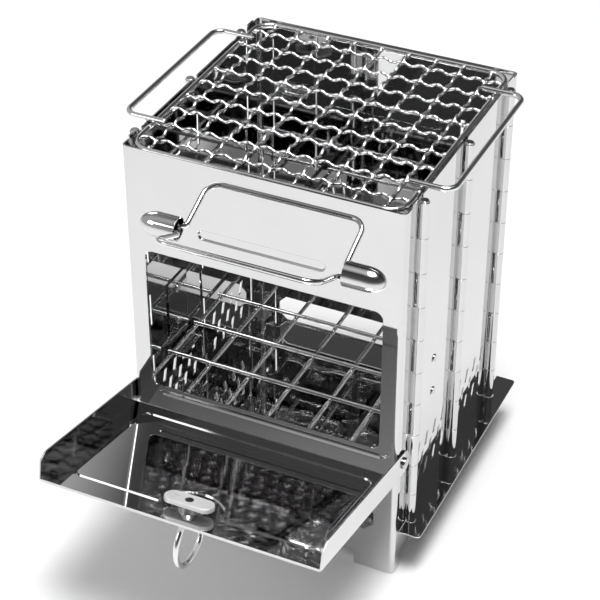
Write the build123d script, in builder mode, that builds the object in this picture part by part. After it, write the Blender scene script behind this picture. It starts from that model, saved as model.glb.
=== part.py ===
from build123d import *
from math import atan, cos, radians, sin
import os

os.makedirs("parts", exist_ok=True)

# Box of sheet: outer size, with the origin in the middle of its footprint on the ground
WIDTH = 200.0
DEPTH = 202.0
WALL_TOP = 299.0
SHEET = 1.0
BEND_RADIUS = 3.5
GAP = 0.3
HALF_WIDTH = WIDTH / 2
HALF_DEPTH = DEPTH / 2

# Hinges: rolled knuckles outside the leaves, on three axes at each side
KNUCKLES = 10
BARREL_RADIUS = 3.5
PIN_RADIUS = 2.0
PIN_GAP = 0.2
PIN_HEAD_RADIUS = 3.0
PIN_HEAD_HEIGHT = 1.2
PIN_TAIL_RADIUS = 2.4
CORNER_HINGE_Y = 78.0
HINGE_TOP_DROP = 2.0
HINGE_EDGE_GAP = 0.5

# Base plate, which the hinge barrels and the returns of the walls pass through
BASE_TOP = 34.0
BASE_SIDE_MARGIN = 13.0
BASE_FRONT_INSET = 8.0
BASE_REAR_MARGIN = 2.0
BASE_CORNER = 3.0
BASE_HOLE_RADIUS = 4.0

# Feet and the hooks that carry the base plate
FOOT_HEIGHT = 12.0
FOOT_DEPTH = 12.0
FOOT_INSET = 70.0
HOOK_REACH = 10.0
TAB_HEIGHT = 2.0
TAB_LENGTH = 9.0

# Openings in the walls
WINDOW_WIDTH = 173.0
WINDOW_BOTTOM = 109.0
WINDOW_TOP = 221.5
WINDOW_CORNER = 6.0
AIR_WIDTH = 168.0
AIR_BOTTOM = 35.0
AIR_TOP = 57.0
AIR_CORNER = 6.0

# Pressed beads, both sunk towards the fire
BEAD_DEPTH = 1.5
BEAD_FLANK = 35.0
LOW_BEAD_LENGTH = 168.0
LOW_BEAD_WIDTH = 5.0
LOW_BEAD_Z = 103.5
LOW_BEAD_X = 4.0
HIGH_BEAD_LENGTH = 92.0
HIGH_BEAD_WIDTH = 8.0
BAIL_Z = 245.0

# Lugs that hold the bails, and the bails
LUG_RADIUS = 8.5
LUG_INNER = 60.0
LUG_STRAIGHT = 15.0
LUG_NOSE = 13.0
BAIL_WIRE = 1.9
BAIL_OUT = 4.9
BAIL_ARM_X = 57.0
BAIL_REACH = 37.5
BAIL_CORNER = 10.0
BAIL_BEND = 3.9
BAIL_ANGLE = 24.4

# Vent slots in the leaves: rows of slanted slots above the base plate
SLOT_WIDTH = 4.0
SLOT_HEIGHT = 10.0
SLOT_LEAN = 3.0
SLOT_PITCH = 15.0
SLOT_FIRST_Z = 60.0
SLOT_ROW_PITCH = 12.0
SLOT_COUNTS = (4, 3, 4)

# Charcoal grate and the brackets that carry it
GRATE_WIRE = 1.5
GRATE_COUNT_X = 7
GRATE_COUNT_Y = 4
GRATE_END_GAP = 3.0
GRATE_CROSS_INSET = 37.9
LEDGE_TOP = 101.0
LEDGE_REACH = 12.0
BRACKET_SHEET = 1.2
BRACKET_WIDTH = 27.0
BRACKET_TOP = 158.0
BRACKET_Y = -39.0
REAR_BRACKET_X = 51.0
REAR_BRACKET_BOTTOM = 69.0
REAR_BRACKET_TOP = 121.0
RIVET_RADIUS = 1.6
RIVET_HEAD_RADIUS = 3.2
RIVET_HEAD = 0.9
SIDE_RIVETS_Z = (120.0, 148.0)
REAR_RIVETS_Z = (81.0, 109.0)

# Door: a shallow pan on two rivets, open at rest
DOOR_PIVOT_Y = -92.3
DOOR_PIVOT_Z = 96.2
DOOR_TILT = 11.2
DOOR_SIDE_GAP = 0.6
DOOR_DROP = 9.1
DOOR_REAR = 7.4
DOOR_FRONT = 135.6
DOOR_EAR = 8.7
DOOR_LIP = 4.4
DOOR_LIP_BACK = 6.0
DOOR_HEM = 6.0
DOOR_RIVET_RADIUS = 2.2
DOOR_RIVET_HEAD_RADIUS = 4.2
DOOR_RIVET_HEAD = 1.6
RIB_HALF_X = 87.0
RIB_REAR = 19.0
RIB_CORNER = 6.0
RIB_HALF_WIDTH = 1.3
RIB_DEPTH = 0.8
RIB_ARC = 22.0

# Latch: a turn button on a spindle, with an eye and a ring below the door
LATCH_SETBACK = 17.6
BUTTON_LENGTH = 35.0
BUTTON_WIDTH = 13.0
BUTTON_THICK = 3.0
BOSS_FOOT = 6.8
BOSS_TOP = 5.5
BOSS_HEIGHT = 4.7
SPINDLE_RADIUS = 3.0
EYE_HALF_WIDTH = 9.0
EYE_THICK = 2.0
EYE_DROP = 4.1
EYE_HOLE = 2.6
EYE_RADIUS = 5.0
EYE_DISC_THICK = 0.9
RING_RADIUS = 18.5
RING_WIRE = 2.0

# Top grill: frame, crimped wires and two handles
FRAME_WIRE = 2.0
FRAME_SIDE_GAP = 1.5
FRAME_END_GAP = 0.6
FRAME_CORNER = 14.0
MESH_WIRE = 1.0
MESH_SIDE_INSET = 12.7
MESH_END_INSET = 14.6
MESH_COUNT = 9
CRIMPS_PER_MESH = 3
MESH_GAP = 0.14
CRIMP_ARC_SHARE = 0.45
MESH_END_GAP = 0.6
HANDLE_LEG_INSET = 31.4
HANDLE_LAP = 8.5
HANDLE_REACH = 21.0
HANDLE_BEND = 8.0
GRILL_SEAT_GAP = 0.2

# Places that follow from the sizes above
HINGE_X = HALF_WIDTH - SHEET + BARREL_RADIUS
BASE_HALF_WIDTH = HINGE_X + BASE_SIDE_MARGIN
BASE_FRONT = BASE_FRONT_INSET - HALF_DEPTH
BASE_REAR = HALF_DEPTH + BASE_REAR_MARGIN
LATCH_ALONG = DOOR_FRONT - LATCH_SETBACK
RIB_FRONT = LATCH_ALONG
HINGE_BOTTOM = BASE_TOP - SHEET
HINGE_TOP = WALL_TOP - HINGE_TOP_DROP
KNUCKLE_PITCH = (HINGE_TOP - HINGE_BOTTOM) / KNUCKLES
HINGE_EDGE = BARREL_RADIUS + HINGE_EDGE_GAP
INNER_X = HALF_WIDTH - SHEET
INNER_Y = HALF_DEPTH - SHEET
EVEN_KNUCKLES = range(0, KNUCKLES, 2)
ODD_KNUCKLES = range(1, KNUCKLES, 2)
RETURN_EDGE = CORNER_HINGE_Y + HINGE_EDGE
BAIL_Y = HALF_DEPTH + BAIL_OUT
front_face = Plane.XZ.offset(HALF_DEPTH)


def save(part, name):
    """Label one finished piece and write it."""
    part.label = name
    export_step(part, f"parts/{name}.step")


def knuckle_section(hinge_y, toward):
    """Section of a rolled knuckle on the right side; its sheet lies on the side toward (-1 or 1)."""
    with BuildSketch() as section:
        with Locations((HINGE_X, hinge_y)):
            Circle(BARREL_RADIUS)
        with Locations((INNER_X + SHEET / 2, hinge_y + toward * HINGE_EDGE / 2)):
            Rectangle(SHEET, HINGE_EDGE)
        with Locations((HINGE_X, hinge_y)):
            Circle(PIN_RADIUS + PIN_GAP, mode=Mode.SUBTRACT)
    return section.sketch


def wire_along(line, radius):
    """Round wire swept along a finished line."""
    with BuildPart() as wire:
        with BuildSketch(Plane(line @ 0, z_dir=line % 0)):
            Circle(radius)
        sweep(path=line)
    return wire.part


# One lug: half of a rounded hood in front of the wall, open towards the middle
def hood(radius, nose):
    """Full hood about the bail axis of the wall, from which a lug and its hollow are made."""
    with BuildPart() as dome:
        with BuildSketch(front_face):
            with BuildLine():
                start = (LUG_INNER, BAIL_Z)
                turn = (LUG_INNER + LUG_STRAIGHT, BAIL_Z)
                Line(start, (LUG_INNER, BAIL_Z + radius))
                Line((LUG_INNER, BAIL_Z + radius), (turn[0], BAIL_Z + radius))
                EllipticalCenterArc(turn, nose, radius, start_angle=0, arc_size=90)
                Line((turn[0] + nose, BAIL_Z), start)
            make_face()
        revolve(axis=Axis((0, -HALF_DEPTH, BAIL_Z), (1, 0, 0)))
    return dome.part


hood_outside = hood(LUG_RADIUS, LUG_NOSE)
hood_inside = hood(LUG_RADIUS - SHEET, LUG_NOSE - SHEET)

with BuildPart() as lug:
    add(hood_outside)
    add(hood_inside, mode=Mode.SUBTRACT)
    split(bisect_by=front_face.offset(-SHEET), keep=Keep.TOP)


def bead(length, width, x, z):
    """Outer and inner shape of a long pressed bead in the front wall."""
    with BuildPart() as ridge:
        with BuildSketch(front_face.offset(-SHEET)):
            with Locations((x, z)):
                SlotOverall(length + 2 * SHEET, width + 2 * SHEET)
        extrude(amount=-BEAD_DEPTH, taper=BEAD_FLANK)
    with BuildPart() as groove:
        with BuildSketch(front_face):
            with Locations((x, z)):
                SlotOverall(length, width)
        extrude(amount=-BEAD_DEPTH, taper=BEAD_FLANK)
    return ridge.part, groove.part


low_bead = bead(LOW_BEAD_LENGTH, LOW_BEAD_WIDTH, LOW_BEAD_X, LOW_BEAD_Z)
high_bead = bead(HIGH_BEAD_LENGTH, HIGH_BEAD_WIDTH, 0, BAIL_Z)
wall_knuckle = knuckle_section(-CORNER_HINGE_Y, -1)


def wall_panel(beads, has_window):
    """Wall that faces -Y, with its returns, feet, hooks, lugs and knuckles."""
    with BuildPart() as wall:
        with BuildSketch() as outside:
            with Locations((0, -HALF_DEPTH)):
                Rectangle(WIDTH, HALF_DEPTH - RETURN_EDGE, align=(Align.CENTER, Align.MIN))
            fillet(outside.vertices().group_by(Axis.Y)[0], BEND_RADIUS)
        extrude(amount=WALL_TOP)
        with BuildSketch() as inside:
            with Locations((0, -INNER_Y)):
                Rectangle(2 * INNER_X, HALF_DEPTH, align=(Align.CENTER, Align.MIN))
            fillet(inside.vertices().group_by(Axis.Y)[0], BEND_RADIUS - SHEET)
        extrude(amount=WALL_TOP, mode=Mode.SUBTRACT)

        # Opening for air below, the main window, and the arch between the feet
        with BuildSketch(Plane.XZ):
            with Locations((0, AIR_BOTTOM)):
                air = Rectangle(AIR_WIDTH, AIR_TOP - AIR_BOTTOM, align=(Align.CENTER, Align.MIN))
            chamfer(air.vertices().group_by(Axis.Z)[-1], AIR_CORNER)
        extrude(amount=WIDTH, mode=Mode.SUBTRACT)
        with BuildSketch(Plane.XZ):
            Rectangle(2 * FOOT_INSET, 2 * FOOT_HEIGHT)
            if has_window:
                with Locations((0, (WINDOW_TOP + WINDOW_BOTTOM) / 2)):
                    RectangleRounded(WINDOW_WIDTH, WINDOW_TOP - WINDOW_BOTTOM, WINDOW_CORNER)
        extrude(amount=WIDTH, mode=Mode.SUBTRACT)

        # Each return: a foot in front, a hook behind it under the base plate, and a tab on top
        for side in (-1, 1):
            x = side * (INNER_X + SHEET / 2)
            with Locations((x, FOOT_DEPTH - HALF_DEPTH, 0)):
                Box(SHEET, DEPTH, 2 * FOOT_HEIGHT, align=(Align.CENTER, Align.MIN, Align.CENTER),
                    mode=Mode.SUBTRACT)
            with Locations((x, -RETURN_EDGE, FOOT_HEIGHT)):
                Box(SHEET, HOOK_REACH, HINGE_BOTTOM - GAP - FOOT_HEIGHT,
                    align=(Align.CENTER, Align.MIN, Align.MIN))
            with Locations((x, -RETURN_EDGE, WALL_TOP)):
                Box(SHEET, TAB_LENGTH, TAB_HEIGHT, align=(Align.CENTER, Align.MAX, Align.MIN))
            with Locations((x, DOOR_PIVOT_Y, DOOR_PIVOT_Z)):
                Cylinder(DOOR_RIVET_RADIUS, 4 * SHEET, rotation=(0, 90, 0), mode=Mode.SUBTRACT)

        # Knuckles of both corner hinges
        for index in EVEN_KNUCKLES:
            z = HINGE_BOTTOM + index * KNUCKLE_PITCH + GAP / 2
            with BuildSketch(Plane.XY.offset(z)):
                add(wall_knuckle)
                mirror(wall_knuckle, about=Plane.YZ)
            extrude(amount=KNUCKLE_PITCH - GAP)

        # Beads and lugs
        for ridge, groove in beads:
            add(ridge)
            add(groove, mode=Mode.SUBTRACT)
        add(hood_inside, mode=Mode.SUBTRACT)
        mirror(hood_inside, about=Plane.YZ, mode=Mode.SUBTRACT)
        add(lug.part)
        mirror(lug.part, about=Plane.YZ)
    return wall.part


front_wall = wall_panel((low_bead, high_bead), True)
rear_wall = wall_panel((high_bead,), False)

with BuildPart() as front_panel:
    add(front_wall)
save(front_panel.part, "front_panel")

with BuildPart() as rear_panel:
    mirror(rear_wall, about=Plane.XZ)
    with Locations([(side * REAR_BRACKET_X, HALF_DEPTH, z) for side in (-1, 1) for z in REAR_RIVETS_Z]):
        Cylinder(RIVET_RADIUS, 4 * SHEET, rotation=(90, 0, 0), mode=Mode.SUBTRACT)
save(rear_panel.part, "rear_panel")


def leaf(front_y, rear_y, front_knuckles, rear_knuckles, rivets_z):
    """Right-hand leaf between two hinge axes, with its vent slots and rivet holes."""
    front_section = knuckle_section(front_y, 1)
    rear_section = knuckle_section(rear_y, -1)
    middle_y = (front_y + rear_y) / 2
    with BuildPart() as sheet:
        with Locations((INNER_X + SHEET / 2, middle_y, BASE_TOP + GAP)):
            Box(SHEET, rear_y - front_y - 2 * HINGE_EDGE, WALL_TOP - BASE_TOP - GAP,
                align=(Align.CENTER, Align.CENTER, Align.MIN))
        for section, owned in ((front_section, front_knuckles), (rear_section, rear_knuckles)):
            for index in owned:
                z = HINGE_BOTTOM + index * KNUCKLE_PITCH + GAP / 2
                with BuildSketch(Plane.XY.offset(z)):
                    add(section)
                extrude(amount=KNUCKLE_PITCH - GAP)
        with BuildSketch(Plane.YZ):
            for row, count in enumerate(SLOT_COUNTS):
                with Locations((middle_y, SLOT_FIRST_Z + row * SLOT_ROW_PITCH)):
                    with GridLocations(SLOT_PITCH, 0, count, 1):
                        low = SLOT_LEAN / 2 + SLOT_WIDTH / 2
                        high = SLOT_WIDTH / 2 - SLOT_LEAN / 2
                        half = SLOT_HEIGHT / 2
                        Polygon((-low, -half), (high, -half), (low, half), (-high, half), align=None)
            for row_z in rivets_z:
                with Locations((BRACKET_Y, row_z)):
                    Circle(RIVET_RADIUS)
        extrude(amount=WIDTH, mode=Mode.SUBTRACT)
    return sheet.part


front_leaf = leaf(-CORNER_HINGE_Y, 0, ODD_KNUCKLES, EVEN_KNUCKLES, SIDE_RIVETS_Z)
rear_leaf = leaf(0, CORNER_HINGE_Y, ODD_KNUCKLES, ODD_KNUCKLES, ())

with BuildPart() as right_front_leaf:
    add(front_leaf)
save(right_front_leaf.part, "right_front_leaf")

with BuildPart() as left_front_leaf:
    mirror(front_leaf, about=Plane.YZ)
save(left_front_leaf.part, "left_front_leaf")

with BuildPart() as right_rear_leaf:
    add(rear_leaf)
save(right_rear_leaf.part, "right_rear_leaf")

with BuildPart() as left_rear_leaf:
    mirror(rear_leaf, about=Plane.YZ)
save(left_rear_leaf.part, "left_rear_leaf")

# Hinge pins, peened over at both ends
hinge_rows = (("front", -CORNER_HINGE_Y), ("middle", 0.0), ("rear", CORNER_HINGE_Y))
for side_name, side in (("left", -1), ("right", 1)):
    for row_name, row_y in hinge_rows:
        with BuildPart() as hinge_pin:
            with Locations((side * HINGE_X, row_y, HINGE_BOTTOM)):
                Cylinder(PIN_RADIUS, HINGE_TOP - HINGE_BOTTOM,
                         align=(Align.CENTER, Align.CENTER, Align.MIN))
                Cylinder(PIN_TAIL_RADIUS, PIN_HEAD_HEIGHT,
                         align=(Align.CENTER, Align.CENTER, Align.MAX))
            with Locations((side * HINGE_X, row_y, HINGE_TOP)):
                Cylinder(PIN_HEAD_RADIUS, PIN_HEAD_HEIGHT,
                         align=(Align.CENTER, Align.CENTER, Align.MIN))
            fillet(hinge_pin.edges().filter_by(GeomType.CIRCLE).sort_by(Axis.Z)[-1], PIN_HEAD_HEIGHT / 2)
        save(hinge_pin.part, f"{side_name}_{row_name}_hinge_pin")

# Base plate
with BuildPart() as base_plate:
    with BuildSketch(Plane.XY.offset(BASE_TOP - SHEET)) as plate:
        with Locations((0, BASE_FRONT)):
            Rectangle(2 * BASE_HALF_WIDTH, BASE_REAR - BASE_FRONT, align=(Align.CENTER, Align.MIN))
        fillet(plate.vertices(), BASE_CORNER)
        for side in (-1, 1):
            for row_name, row_y in hinge_rows:
                with Locations((side * HINGE_X, row_y)):
                    Circle(BASE_HOLE_RADIUS, mode=Mode.SUBTRACT)
            slit_x = side * (INNER_X + SHEET / 2)
            slit_width = SHEET + 2 * GAP
            with Locations((slit_x, 0)):
                Rectangle(slit_width, HINGE_EDGE + GAP, align=(Align.CENTER, Align.MAX), mode=Mode.SUBTRACT)
            with Locations((side * (HALF_WIDTH - BEND_RADIUS), HALF_DEPTH - BEND_RADIUS)):
                Circle(BEND_RADIUS + GAP, mode=Mode.SUBTRACT)
            for end in (BASE_FRONT, BASE_REAR):
                slit_end = CORNER_HINGE_Y if end > 0 else -CORNER_HINGE_Y
                with Locations((slit_x, (end + slit_end) / 2)):
                    Rectangle(slit_width, abs(end - slit_end), mode=Mode.SUBTRACT)
        with Locations((0, INNER_Y - GAP)):
            Rectangle(WIDTH + 2 * GAP, DEPTH, align=(Align.CENTER, Align.MIN), mode=Mode.SUBTRACT)
    extrude(amount=SHEET)
save(base_plate.part, "base_plate")

# Brackets: a side bracket hangs its ledge from a plate, a rear one carries it half way up
with BuildPart() as side_bracket:
    with Locations((INNER_X, BRACKET_Y, LEDGE_TOP - BRACKET_SHEET)):
        Box(BRACKET_SHEET, BRACKET_WIDTH, BRACKET_TOP - LEDGE_TOP + BRACKET_SHEET,
            align=(Align.MAX, Align.CENTER, Align.MIN))
        Box(LEDGE_REACH, BRACKET_WIDTH, BRACKET_SHEET, align=(Align.MAX, Align.CENTER, Align.MIN))
    with Locations([(INNER_X, BRACKET_Y, z) for z in SIDE_RIVETS_Z]):
        Cylinder(RIVET_RADIUS, 4 * SHEET, rotation=(0, 90, 0), mode=Mode.SUBTRACT)

with BuildPart() as back_bracket:
    with Locations((REAR_BRACKET_X, INNER_Y, REAR_BRACKET_BOTTOM)):
        Box(BRACKET_WIDTH, BRACKET_SHEET, REAR_BRACKET_TOP - REAR_BRACKET_BOTTOM,
            align=(Align.CENTER, Align.MAX, Align.MIN))
    with Locations((REAR_BRACKET_X, INNER_Y, LEDGE_TOP - BRACKET_SHEET)):
        Box(BRACKET_WIDTH, LEDGE_REACH, BRACKET_SHEET, align=(Align.CENTER, Align.MAX, Align.MIN))
    with Locations([(REAR_BRACKET_X, INNER_Y, z) for z in REAR_RIVETS_Z]):
        Cylinder(RIVET_RADIUS, 4 * SHEET, rotation=(90, 0, 0), mode=Mode.SUBTRACT)

bracket_makers = (("side_bracket", side_bracket), ("rear_bracket", back_bracket))
for bracket_name, maker in bracket_makers:
    with BuildPart() as right_bracket:
        add(maker.part)
    save(right_bracket.part, f"right_{bracket_name}")
    with BuildPart() as left_bracket:
        mirror(maker.part, about=Plane.YZ)
    save(left_bracket.part, f"left_{bracket_name}")

# Rivets: shank through wall and bracket, a low head at each end
with BuildPart() as rivet:
    Cylinder(RIVET_RADIUS, SHEET + BRACKET_SHEET)
    for end in (-1, 1):
        with Locations((0, 0, end * (SHEET + BRACKET_SHEET + RIVET_HEAD) / 2)):
            Cylinder(RIVET_HEAD_RADIUS, RIVET_HEAD)
    fillet(rivet.edges().filter_by(GeomType.CIRCLE).group_by(Axis.Z)[0], RIVET_HEAD / 2)
    fillet(rivet.edges().filter_by(GeomType.CIRCLE).group_by(Axis.Z)[-1], RIVET_HEAD / 2)

with BuildPart() as bracket_rivets:
    for side in (-1, 1):
        for z in SIDE_RIVETS_Z:
            with Locations(Location((side * (INNER_X + (SHEET - BRACKET_SHEET) / 2), BRACKET_Y, z),
                                    (0, 90, 0))):
                add(rivet.part)
        for z in REAR_RIVETS_Z:
            with Locations(Location((side * REAR_BRACKET_X, INNER_Y + (SHEET - BRACKET_SHEET) / 2, z),
                                    (90, 0, 0))):
                add(rivet.part)
save(bracket_rivets.part, "bracket_rivets")

# Door pan, drawn open: along runs from the pivot to the front edge, up is square to the floor
tilt = radians(DOOR_TILT)
along = Vector(0, -cos(tilt), sin(tilt))
up = Vector(0, sin(tilt), cos(tilt))
pivot = Vector(0, DOOR_PIVOT_Y, DOOR_PIVOT_Z)
door_plane = Plane(origin=pivot, x_dir=(-1, 0, 0), z_dir=up)
DOOR_INNER_X = HALF_WIDTH + DOOR_SIDE_GAP
DOOR_OUTER_X = DOOR_INNER_X + SHEET
FLOOR_OUTSIDE = -DOOR_DROP - SHEET
RIB_MIDDLE = (RIB_REAR + RIB_FRONT) / 2


def rib_outline(margin):
    """Rounded rectangle with a bay round the latch, widened by margin."""
    with BuildSketch() as outline:
        with Locations((0, RIB_MIDDLE)):
            RectangleRounded(2 * (RIB_HALF_X + margin), RIB_FRONT - RIB_REAR + 2 * margin,
                             RIB_CORNER + margin)
        with Locations((0, LATCH_ALONG)):
            Circle(RIB_ARC - margin, mode=Mode.SUBTRACT)
    return outline.sketch


def rib_band(half_width):
    """Closed band of the pressed rib."""
    wide = rib_outline(half_width)
    narrow = rib_outline(-half_width)
    with BuildSketch() as band:
        add(wide)
        add(narrow, mode=Mode.SUBTRACT)
    return band.sketch


rib_groove = rib_band(RIB_HALF_WIDTH)
rib_ridge = rib_band(RIB_HALF_WIDTH + SHEET)

with BuildPart() as door_pan:
    with BuildSketch(door_plane.offset(FLOOR_OUTSIDE)):
        with Locations((0, DOOR_REAR)):
            Rectangle(2 * DOOR_OUTER_X, DOOR_FRONT - DOOR_REAR, align=(Align.CENTER, Align.MIN))
    extrude(amount=SHEET)
    for side in (-1, 1):
        outer_side = DOOR_OUTER_X if side > 0 else -DOOR_INNER_X
        with BuildSketch(Plane(origin=pivot + Vector(outer_side, 0, 0), x_dir=along, z_dir=(-1, 0, 0))):
            with BuildLine():
                Polyline((0, -DOOR_EAR), (DOOR_REAR, FLOOR_OUTSIDE), (DOOR_FRONT, FLOOR_OUTSIDE),
                         (DOOR_FRONT, DOOR_LIP), (DOOR_FRONT - DOOR_LIP_BACK, DOOR_EAR), (0, DOOR_EAR))
                ThreePointArc((0, DOOR_EAR), (-DOOR_EAR, 0), (0, -DOOR_EAR))
            make_face()
            Circle(DOOR_RIVET_RADIUS + PIN_GAP, mode=Mode.SUBTRACT)
        extrude(amount=SHEET)
    # Hem folded under the front edge
    with BuildSketch(door_plane.offset(FLOOR_OUTSIDE)):
        with Locations((0, DOOR_FRONT)):
            Rectangle(2 * DOOR_INNER_X, DOOR_HEM, align=(Align.CENTER, Align.MAX))
    extrude(amount=-SHEET)
    # Rib pressed outwards, which shows as a groove from inside
    with BuildSketch(door_plane.offset(FLOOR_OUTSIDE)):
        add(rib_ridge)
    extrude(amount=-RIB_DEPTH)
    with BuildSketch(door_plane.offset(-DOOR_DROP)):
        add(rib_groove)
    extrude(amount=-RIB_DEPTH, mode=Mode.SUBTRACT)
    # Boss under the turn button, with the bore of the spindle
    with BuildSketch(door_plane.offset(-DOOR_DROP)):
        with Locations((0, LATCH_ALONG)):
            Circle(BOSS_FOOT)
    with BuildSketch(door_plane.offset(BOSS_HEIGHT - DOOR_DROP)):
        with Locations((0, LATCH_ALONG)):
            Circle(BOSS_TOP)
    loft()
    with BuildSketch(door_plane.offset(-DOOR_DROP + BOSS_HEIGHT)):
        with Locations((0, LATCH_ALONG)):
            Circle(SPINDLE_RADIUS + PIN_GAP)
    extrude(amount=-3 * BOSS_HEIGHT, mode=Mode.SUBTRACT)
save(door_pan.part, "door_pan")

with BuildPart() as door_rivets:
    for side in (-1, 1):
        with BuildSketch(Plane(origin=pivot + Vector(side * (INNER_X - DOOR_RIVET_HEAD), 0, 0),
                               z_dir=(side, 0, 0))):
            Circle(DOOR_RIVET_HEAD_RADIUS)
        extrude(amount=DOOR_RIVET_HEAD)
        with BuildSketch(Plane(origin=pivot + Vector(side * INNER_X, 0, 0), z_dir=(side, 0, 0))):
            Circle(DOOR_RIVET_RADIUS)
        extrude(amount=DOOR_OUTER_X - INNER_X + GAP)
        with BuildSketch(Plane(origin=pivot + Vector(side * (DOOR_OUTER_X + GAP), 0, 0),
                               z_dir=(side, 0, 0))):
            Circle(DOOR_RIVET_HEAD_RADIUS)
        extrude(amount=DOOR_RIVET_HEAD)
    for end in (0, -1):
        head_edge = door_rivets.edges().filter_by(GeomType.CIRCLE).group_by(Axis.X)[end]
        fillet(head_edge, DOOR_RIVET_HEAD / 2)
save(door_rivets.part, "door_rivets")

# Latch button, its spindle and the eye below the door
BUTTON_BASE = BOSS_HEIGHT + GAP - DOOR_DROP
EYE_LEVEL = FLOOR_OUTSIDE - EYE_DROP
EYE_DISC_TOP = FLOOR_OUTSIDE - GAP

with BuildPart() as latch_button:
    with BuildSketch(door_plane.offset(BUTTON_BASE)):
        with Locations((0, LATCH_ALONG)):
            SlotOverall(BUTTON_LENGTH, BUTTON_WIDTH)
            Circle(SPINDLE_RADIUS, mode=Mode.SUBTRACT)
    extrude(amount=BUTTON_THICK)
    fillet(latch_button.faces().sort_by(Axis(pivot, up))[-1].outer_wire().edges(), SHEET / 2)
save(latch_button.part, "latch_button")

with BuildPart() as latch_spindle:
    with BuildSketch(door_plane.offset(EYE_DISC_TOP)):
        with Locations((0, LATCH_ALONG)):
            Circle(SPINDLE_RADIUS)
    extrude(amount=BUTTON_BASE + BUTTON_THICK - EYE_DISC_TOP)
save(latch_spindle.part, "latch_spindle")

eye_middle = pivot + along * LATCH_ALONG + up * EYE_LEVEL
eye_plane = Plane(origin=eye_middle - along * (EYE_THICK / 2), x_dir=(1, 0, 0), z_dir=along)

with BuildPart() as ring_eye:
    with BuildSketch(door_plane.offset(EYE_DISC_TOP)):
        with Locations((0, LATCH_ALONG)):
            Circle(EYE_HALF_WIDTH)
    extrude(amount=-EYE_DISC_THICK)
    with BuildSketch(eye_plane):
        eye_top = EYE_DROP - GAP
        with BuildLine():
            Polyline((0, -EYE_RADIUS), (-EYE_HALF_WIDTH / 2, -EYE_RADIUS), (-EYE_HALF_WIDTH, 0),
                     (-EYE_HALF_WIDTH, eye_top), (EYE_HALF_WIDTH, eye_top), (EYE_HALF_WIDTH, 0),
                     (EYE_HALF_WIDTH / 2, -EYE_RADIUS), (0, -EYE_RADIUS))
        make_face()
        Circle(EYE_HOLE, mode=Mode.SUBTRACT)
    extrude(amount=EYE_THICK)
save(ring_eye.part, "ring_eye")

with BuildPart() as pull_ring:
    with BuildSketch(Plane(origin=eye_middle, x_dir=(1, 0, 0), z_dir=(0, 1, 0))):
        Circle(RING_WIRE)
    revolve(axis=Axis(eye_middle - Vector(0, 0, RING_RADIUS), (1, 0, 0)))
save(pull_ring.part, "pull_ring")


def bail(radial, side):
    """Wire handle in the lugs of the front (side -1) or rear wall, reaching out along radial."""
    plane = Plane(origin=(0, side * BAIL_Y, BAIL_Z), x_dir=(1, 0, 0), z_dir=Vector(1, 0, 0).cross(radial))
    end_x = LUG_INNER + LUG_STRAIGHT
    with BuildLine(plane) as path:
        FilletPolyline((end_x, 0), (BAIL_ARM_X, 0), (BAIL_ARM_X, BAIL_REACH), (-BAIL_ARM_X, BAIL_REACH),
                       (-BAIL_ARM_X, 0), (-end_x, 0), radius=[BAIL_BEND, BAIL_CORNER, BAIL_CORNER, BAIL_BEND])
    return wire_along(path.line, BAIL_WIRE)


lift = radians(BAIL_ANGLE)
front_bail = bail(Vector(0, -cos(lift), sin(lift)), -1)
save(front_bail, "front_bail")
rear_bail = bail(Vector(0, 0, -1), 1)
save(rear_bail, "rear_bail")

# Top grill: frame and handles
GRILL_Z = WALL_TOP + GRILL_SEAT_GAP - FRAME_WIRE
HANDLE_Z = GRILL_Z + 2 * FRAME_WIRE
FRAME_X = INNER_X - FRAME_SIDE_GAP - FRAME_WIRE
FRAME_Y = INNER_Y - FRAME_END_GAP - FRAME_WIRE
MESH_PITCH_X = (FRAME_X - MESH_SIDE_INSET) / (MESH_COUNT // 2)
MESH_PITCH_Y = (FRAME_Y - MESH_END_INSET) / (MESH_COUNT // 2)
HANDLE_INNER_X = FRAME_X - HANDLE_LAP
HANDLE_OUTER_X = FRAME_X + HANDLE_REACH
HANDLE_LEG_Y = FRAME_Y - HANDLE_LEG_INSET

with BuildSketch(Plane.XY.offset(GRILL_Z)) as frame_outline:
    RectangleRounded(2 * FRAME_X, 2 * FRAME_Y, FRAME_CORNER)
grill_frame = wire_along(frame_outline.sketch.faces()[0].outer_wire(), FRAME_WIRE)
save(grill_frame, "grill_frame")

for side_name, side in (("left", -1), ("right", 1)):
    with BuildLine(Plane.XY.offset(HANDLE_Z)) as handle_path:
        FilletPolyline((side * HANDLE_INNER_X, -HANDLE_LEG_Y), (side * HANDLE_OUTER_X, -HANDLE_LEG_Y),
                       (side * HANDLE_OUTER_X, HANDLE_LEG_Y), (side * HANDLE_INNER_X, HANDLE_LEG_Y),
                       radius=HANDLE_BEND)
    save(wire_along(handle_path.line, FRAME_WIRE), f"{side_name}_grill_handle")


def crimped_wire(plane, half_length, pitch, phase):
    """Wire with a bend every third of a mesh, up and down by turns; phase flips the first bend."""
    step = pitch / CRIMPS_PER_MESH
    bends = int(half_length / step - CRIMP_ARC_SHARE)
    # Each arc cuts inside its corner by about its share of the rise, so the corners stand out further
    corner = (MESH_WIRE + MESH_GAP) / (1 - CRIMP_ARC_SHARE)
    slope = atan(2 * corner / step)
    radius = CRIMP_ARC_SHARE * step / sin(slope)
    points = []
    for index in range(-bends, bends + 1):
        points.append((index * step, corner * (-1) ** (index + phase)))
    # Each end stops on its way to the next bend, and never rises past that bend's own height
    end_rise = points[-1][1] * max(-1, 1 - 2 * (half_length - points[-1][0]) / step)
    points.insert(0, (-half_length, end_rise))
    points.append((half_length, end_rise))
    with BuildLine(plane) as path:
        FilletPolyline(*points, radius=radius)
    return wire_along(path.line, MESH_WIRE)


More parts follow.
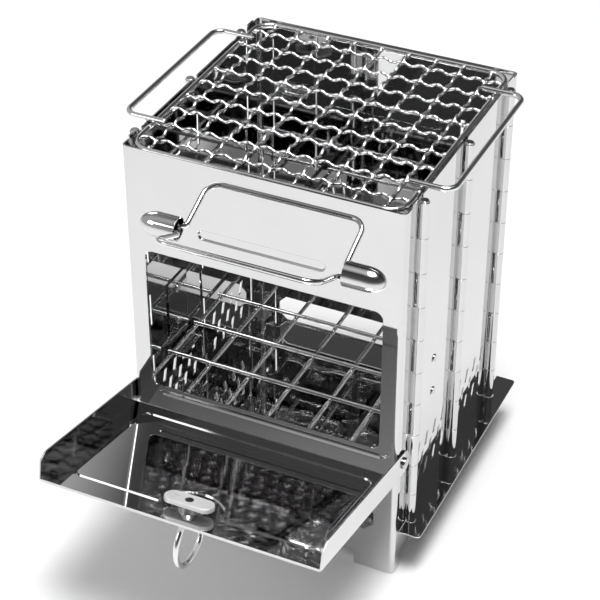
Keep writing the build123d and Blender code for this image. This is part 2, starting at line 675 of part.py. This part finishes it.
mesh_half_y = FRAME_Y - FRAME_WIRE - MESH_END_GAP
mesh_half_x = FRAME_X - FRAME_WIRE - MESH_END_GAP
long_plane = Plane(origin=(0, 0, GRILL_Z), x_dir=(0, 1, 0), z_dir=(1, 0, 0))
cross_plane = Plane(origin=(0, 0, GRILL_Z), x_dir=(1, 0, 0), z_dir=(0, -1, 0))
long_wires = [crimped_wire(long_plane, mesh_half_y, MESH_PITCH_Y, phase) for phase in (0, 1)]
cross_wires = [crimped_wire(cross_plane, mesh_half_x, MESH_PITCH_X, phase) for phase in (1, 0)]
mesh_rows = range(-(MESH_COUNT // 2), MESH_COUNT // 2 + 1)

with BuildPart() as grill_long_wires:
    for row in mesh_rows:
        with Locations((row * MESH_PITCH_X, 0, 0)):
            add(long_wires[row % 2])
save(grill_long_wires.part, "grill_long_wires")

with BuildPart() as grill_cross_wires:
    for row in mesh_rows:
        with Locations((0, row * MESH_PITCH_Y, 0)):
            add(cross_wires[row % 2])
save(grill_cross_wires.part, "grill_cross_wires")

# Charcoal grate on the ledges: wires from front to rear, with the cross wires on top of them
GRATE_LONG_Z = LEDGE_TOP + GRILL_SEAT_GAP + GRATE_WIRE
GRATE_CROSS_Z = GRATE_LONG_Z + 2 * GRATE_WIRE
GRATE_PITCH_X = 2 * (INNER_X - GRATE_END_GAP - GRATE_WIRE) / (GRATE_COUNT_X - 1)
GRATE_PITCH_Y = 2 * (INNER_Y - GRATE_END_GAP - GRATE_CROSS_INSET) / (GRATE_COUNT_Y - 1)

with BuildPart() as grate_long_wires:
    with Locations((0, 0, GRATE_LONG_Z)):
        with GridLocations(GRATE_PITCH_X, 0, GRATE_COUNT_X, 1):
            Cylinder(GRATE_WIRE, 2 * (INNER_Y - GRATE_END_GAP), rotation=(90, 0, 0))
save(grate_long_wires.part, "grate_long_wires")

with BuildPart() as grate_cross_wires:
    with Locations((0, 0, GRATE_CROSS_Z)):
        with GridLocations(0, GRATE_PITCH_Y, 1, GRATE_COUNT_Y):
            Cylinder(GRATE_WIRE, 2 * (INNER_X - GRATE_END_GAP), rotation=(0, 90, 0))
save(grate_cross_wires.part, "grate_cross_wires")
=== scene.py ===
import bmesh
import bpy
from mathutils import Matrix, Vector


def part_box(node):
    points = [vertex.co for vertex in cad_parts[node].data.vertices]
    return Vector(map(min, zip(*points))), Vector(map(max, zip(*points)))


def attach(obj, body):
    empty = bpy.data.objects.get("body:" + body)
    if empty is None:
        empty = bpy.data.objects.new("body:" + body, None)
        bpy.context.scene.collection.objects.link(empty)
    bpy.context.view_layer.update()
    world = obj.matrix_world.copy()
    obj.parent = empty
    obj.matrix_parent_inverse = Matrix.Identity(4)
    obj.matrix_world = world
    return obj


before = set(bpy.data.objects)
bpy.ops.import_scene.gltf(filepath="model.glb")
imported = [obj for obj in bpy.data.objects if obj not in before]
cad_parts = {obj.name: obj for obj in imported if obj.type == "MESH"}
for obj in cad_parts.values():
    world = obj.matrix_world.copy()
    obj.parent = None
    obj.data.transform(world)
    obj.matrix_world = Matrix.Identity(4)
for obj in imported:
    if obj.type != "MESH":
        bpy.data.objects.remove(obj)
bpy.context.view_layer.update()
MM = 0.001

# Camera as solved from the photograph: place, aim and focal length, with no roll
CAMERA_PLACE = Vector((446.2, -994.6, 912.4)) * MM
CAMERA_AIM = Vector((-19.2, 0.0, 135.8)) * MM
CAMERA_LENS = 111.76
SENSOR = 36.0
CLIP_END = 50

# White floor, just below the feet
FLOOR_SIZE = 12.0
FLOOR_DROP = 0.2 * MM
FLOOR_WHITE = 0.9
FLOOR_ROUGHNESS = 0.9

# Soft lights: name, place, aim, side of the square in metres, power in watts
LIGHTS = (
    ("overhead", (0.3, -0.3, 2.4), (0, 0, 0), 1.0, 62),
    ("front_left", (-1.8, -2.0, 1.6), (0, 0, 0.15), 1.2, 20),
)

# Surroundings by height, from straight down (0) over the horizon (0.5) to straight up (1)
LOW_POSITION, LOW_COLOR = 0.50, (0.62, 0.62, 0.63, 1)
TOP_POSITION, TOP_COLOR = 1.0, (0.9, 0.9, 0.9, 1)
MIDDLE_GREYS = ((0.53, 0.35), (0.60, 0.12), (0.90, 0.06), (0.95, 0.6))

# A lighter side of the surroundings, on the left, which the door pan mirrors
PATCH_AIM = (-1, 0, 0)
PATCH_EDGE = 0.40
PATCH_SOFTNESS = 0.03
PATCH_GREY = 0.5

# Steel: clouds in the colour
CLOUD_SCALE = 22
CLOUD_DETAIL = 3
CLOUD_DARKEST = 0.96

# Steel: polishing lines and smudges in the roughness
LINE_STRETCH = (12, 12, 900)
LINE_SCALE = 3
LINE_DETAIL = 4
SMUDGE_SCALE = 35
ROUGHNESS_SPREAD = (0.6, 1.6)

# Steel: slow waves of the sheet
WAVE_SCALE = 9
WAVE_DETAIL = 1
EDGE_SAMPLES = 4

# Weld beads that join the grill's mesh wires to its frame; the inset is from the frame's outer edge
BEAD_RADIUS = 1.7 * MM
BEAD_INSET = 4.3 * MM
MESH_WIRE_RADIUS = 1.0 * MM
MESH_ROWS_EACH_WAY = 4


def grey_color(grey):
    return (grey, grey, grey, 1)


def facing(place, aim):
    """Turn of a camera or light at a place that looks at its aim."""
    return (Vector(aim) - Vector(place)).to_track_quat("-Z", "Y").to_euler()


def add_camera():
    data = bpy.data.cameras.new("camera")
    data.sensor_width = SENSOR
    data.lens = CAMERA_LENS
    data.clip_end = CLIP_END
    camera = bpy.data.objects.new("camera", data)
    camera.location = CAMERA_PLACE
    camera.rotation_euler = facing(CAMERA_PLACE, CAMERA_AIM)
    bpy.context.collection.objects.link(camera)
    bpy.context.scene.camera = camera


def add_light(name, place, aim, size, power):
    data = bpy.data.lights.new(name, "AREA")
    data.shape = "RECTANGLE"
    data.size = size
    data.size_y = size
    data.energy = power
    light = bpy.data.objects.new(name, data)
    light.location = place
    light.rotation_euler = facing(place, aim)
    bpy.context.collection.objects.link(light)


def add_world():
    """Surroundings that the steel mirrors: bright low down and overhead, dark between, lighter on the left."""
    world = bpy.data.worlds.new("studio")
    bpy.context.scene.world = world
    world.use_nodes = True
    nodes, links = world.node_tree.nodes, world.node_tree.links
    place = nodes.new("ShaderNodeTexCoord")

    # Grey by height
    split = nodes.new("ShaderNodeSeparateXYZ")
    ramp = nodes.new("ShaderNodeValToRGB")
    spread = nodes.new("ShaderNodeMapRange")
    spread.inputs["From Min"].default_value = -1
    links.new(place.outputs["Generated"], split.inputs[0])
    links.new(split.outputs["Z"], spread.inputs["Value"])
    links.new(spread.outputs[0], ramp.inputs[0])
    stops = ramp.color_ramp.elements
    stops[0].position, stops[0].color = LOW_POSITION, LOW_COLOR
    stops[1].position, stops[1].color = TOP_POSITION, TOP_COLOR
    for position, grey in MIDDLE_GREYS:
        stop = stops.new(position)
        stop.color = grey_color(grey)

    # The lighter side
    patch = nodes.new("ShaderNodeMapRange")
    patch.inputs["From Min"].default_value = PATCH_EDGE
    patch.inputs["From Max"].default_value = PATCH_EDGE + PATCH_SOFTNESS
    patch.clamp = True
    side = nodes.new("ShaderNodeVectorMath")
    side.operation = "DOT_PRODUCT"
    side.inputs[1].default_value = PATCH_AIM
    blend = nodes.new("ShaderNodeMix")
    blend.data_type = "RGBA"
    blend.inputs["B"].default_value = grey_color(PATCH_GREY)
    links.new(place.outputs["Generated"], side.inputs[0])
    links.new(side.outputs["Value"], patch.inputs["Value"])
    links.new(patch.outputs[0], blend.inputs["Factor"])
    links.new(ramp.outputs["Color"], blend.inputs["A"])
    links.new(blend.outputs["Result"], nodes["Background"].inputs["Color"])
    nodes["Background"].inputs["Strength"].default_value = 1.0


def add_floor():
    bpy.ops.mesh.primitive_plane_add(size=FLOOR_SIZE, location=(0, 0, -FLOOR_DROP))
    floor = bpy.context.object
    floor.name = "floor"
    material = bpy.data.materials.new("floor_white")
    material.use_nodes = True
    shader = material.node_tree.nodes["Principled BSDF"]
    shader.inputs["Base Color"].default_value = grey_color(FLOOR_WHITE)
    shader.inputs["Roughness"].default_value = FLOOR_ROUGHNESS
    floor.data.materials.append(material)


def steel(name, grey, roughness, waviness, edge_radius, metallic=1.0):
    """Polished stainless: slight smudges, fine polishing lines, gently uneven sheet and rounded edges.

    waviness and edge_radius are in metres."""
    material = bpy.data.materials.new(name)
    material.use_nodes = True
    nodes, links = material.node_tree.nodes, material.node_tree.links
    shader = nodes["Principled BSDF"]
    shader.inputs["Metallic"].default_value = metallic
    place = nodes.new("ShaderNodeTexCoord")

    # Colour: a cloudy change of a few percent
    cloud = nodes.new("ShaderNodeTexNoise")
    cloud.inputs["Scale"].default_value = CLOUD_SCALE
    cloud.inputs["Detail"].default_value = CLOUD_DETAIL
    tone = nodes.new("ShaderNodeValToRGB")
    low, high = tone.color_ramp.elements
    low.position, high.position = 0.3, 0.7
    low.color = (grey * CLOUD_DARKEST, grey * CLOUD_DARKEST, grey * (CLOUD_DARKEST + 0.005), 1)
    high.color = (grey, grey, grey * 1.005, 1)
    links.new(place.outputs["Object"], cloud.inputs["Vector"])
    links.new(cloud.outputs["Fac"], tone.inputs["Fac"])
    links.new(tone.outputs["Color"], shader.inputs["Base Color"])

    # Roughness: polishing lines along the sheet and a few dull smudges
    stretch = nodes.new("ShaderNodeMapping")
    stretch.inputs["Scale"].default_value = LINE_STRETCH
    lines = nodes.new("ShaderNodeTexNoise")
    lines.inputs["Scale"].default_value = LINE_SCALE
    lines.inputs["Detail"].default_value = LINE_DETAIL
    smudge = nodes.new("ShaderNodeTexNoise")
    smudge.inputs["Scale"].default_value = SMUDGE_SCALE
    mixed = nodes.new("ShaderNodeMath")
    mixed.operation = "MULTIPLY"
    rough = nodes.new("ShaderNodeMapRange")
    rough.inputs["From Min"].default_value = 0.1
    rough.inputs["From Max"].default_value = 0.5
    rough.inputs["To Min"].default_value = roughness * ROUGHNESS_SPREAD[0]
    rough.inputs["To Max"].default_value = roughness * ROUGHNESS_SPREAD[1]
    links.new(place.outputs["Object"], stretch.inputs["Vector"])
    links.new(stretch.outputs["Vector"], lines.inputs["Vector"])
    links.new(place.outputs["Object"], smudge.inputs["Vector"])
    links.new(lines.outputs["Fac"], mixed.inputs[0])
    links.new(smudge.outputs["Fac"], mixed.inputs[1])
    links.new(mixed.outputs[0], rough.inputs["Value"])
    links.new(rough.outputs[0], shader.inputs["Roughness"])

    # Relief: rounded edges, then slow waves of the sheet
    edge = nodes.new("ShaderNodeBevel")
    edge.samples = EDGE_SAMPLES
    edge.inputs["Radius"].default_value = edge_radius
    waves = nodes.new("ShaderNodeTexNoise")
    waves.inputs["Scale"].default_value = WAVE_SCALE
    waves.inputs["Detail"].default_value = WAVE_DETAIL
    sheet_bump = nodes.new("ShaderNodeBump")
    sheet_bump.inputs["Distance"].default_value = waviness
    sheet_bump.inputs["Strength"].default_value = 1.0
    links.new(place.outputs["Object"], waves.inputs["Vector"])
    links.new(edge.outputs["Normal"], sheet_bump.inputs["Normal"])
    links.new(waves.outputs["Fac"], sheet_bump.inputs["Height"])
    links.new(sheet_bump.outputs["Normal"], shader.inputs["Normal"])
    return material


add_camera()
add_world()
add_floor()
for light_values in LIGHTS:
    add_light(*light_values)
bpy.context.scene.view_settings.view_transform = "Standard"

SHEET = steel("polished_sheet", 0.62, 0.03, 0.00012, 0.0003)
INNER = steel("plain_sheet", 0.52, 0.06, 0.00012, 0.0003)
WIRE = steel("bright_wire", 0.72, 0.10, 0.0, 0.0)
FASTENER = steel("fastener", 0.5, 0.15, 0.0, 0.0003)
BRUSHED = steel("brushed_latch", 0.72, 0.42, 0.0, 0.0005, metallic=0.45)


def finish_for(name):
    """Material of a CAD node, by what kind of piece it is; a spindle counts as a pin."""
    if name in ("latch_button", "ring_eye"):
        return BRUSHED
    if "pin" in name or "rivet" in name:
        return FASTENER
    if "wire" in name or "bail" in name or "handle" in name or name in ("grill_frame", "pull_ring"):
        return WIRE
    if "bracket" in name:
        return INNER
    return SHEET


def add_weld_beads():
    """A bead where each end of a mesh wire meets the grill's frame."""
    low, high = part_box("grill_frame")
    level = (low[2] + high[2]) / 2
    reach_x = high[0] - BEAD_INSET
    reach_y = high[1] - BEAD_INSET
    pitch_x = (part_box("grill_long_wires")[1][0] - MESH_WIRE_RADIUS) / MESH_ROWS_EACH_WAY
    pitch_y = (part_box("grill_cross_wires")[1][1] - MESH_WIRE_RADIUS) / MESH_ROWS_EACH_WAY
    shape = bmesh.new()
    for row in range(-MESH_ROWS_EACH_WAY, MESH_ROWS_EACH_WAY + 1):
        for side in (-1, 1):
            for place in ((side * reach_x, row * pitch_y, level), (row * pitch_x, side * reach_y, level)):
                bmesh.ops.create_icosphere(shape, subdivisions=2, radius=BEAD_RADIUS,
                                           matrix=Matrix.Translation(place))
    mesh = bpy.data.meshes.new("grill_weld_beads")
    shape.to_mesh(mesh)
    shape.free()
    for face in mesh.polygons:
        face.use_smooth = True
    mesh.materials.append(WIRE)
    beads = bpy.data.objects.new("grill_weld_beads", mesh)
    bpy.context.collection.objects.link(beads)
    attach(beads, "grill")


for node_name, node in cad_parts.items():
    node.data.materials.clear()
    node.data.materials.append(finish_for(node_name))
add_weld_beads()
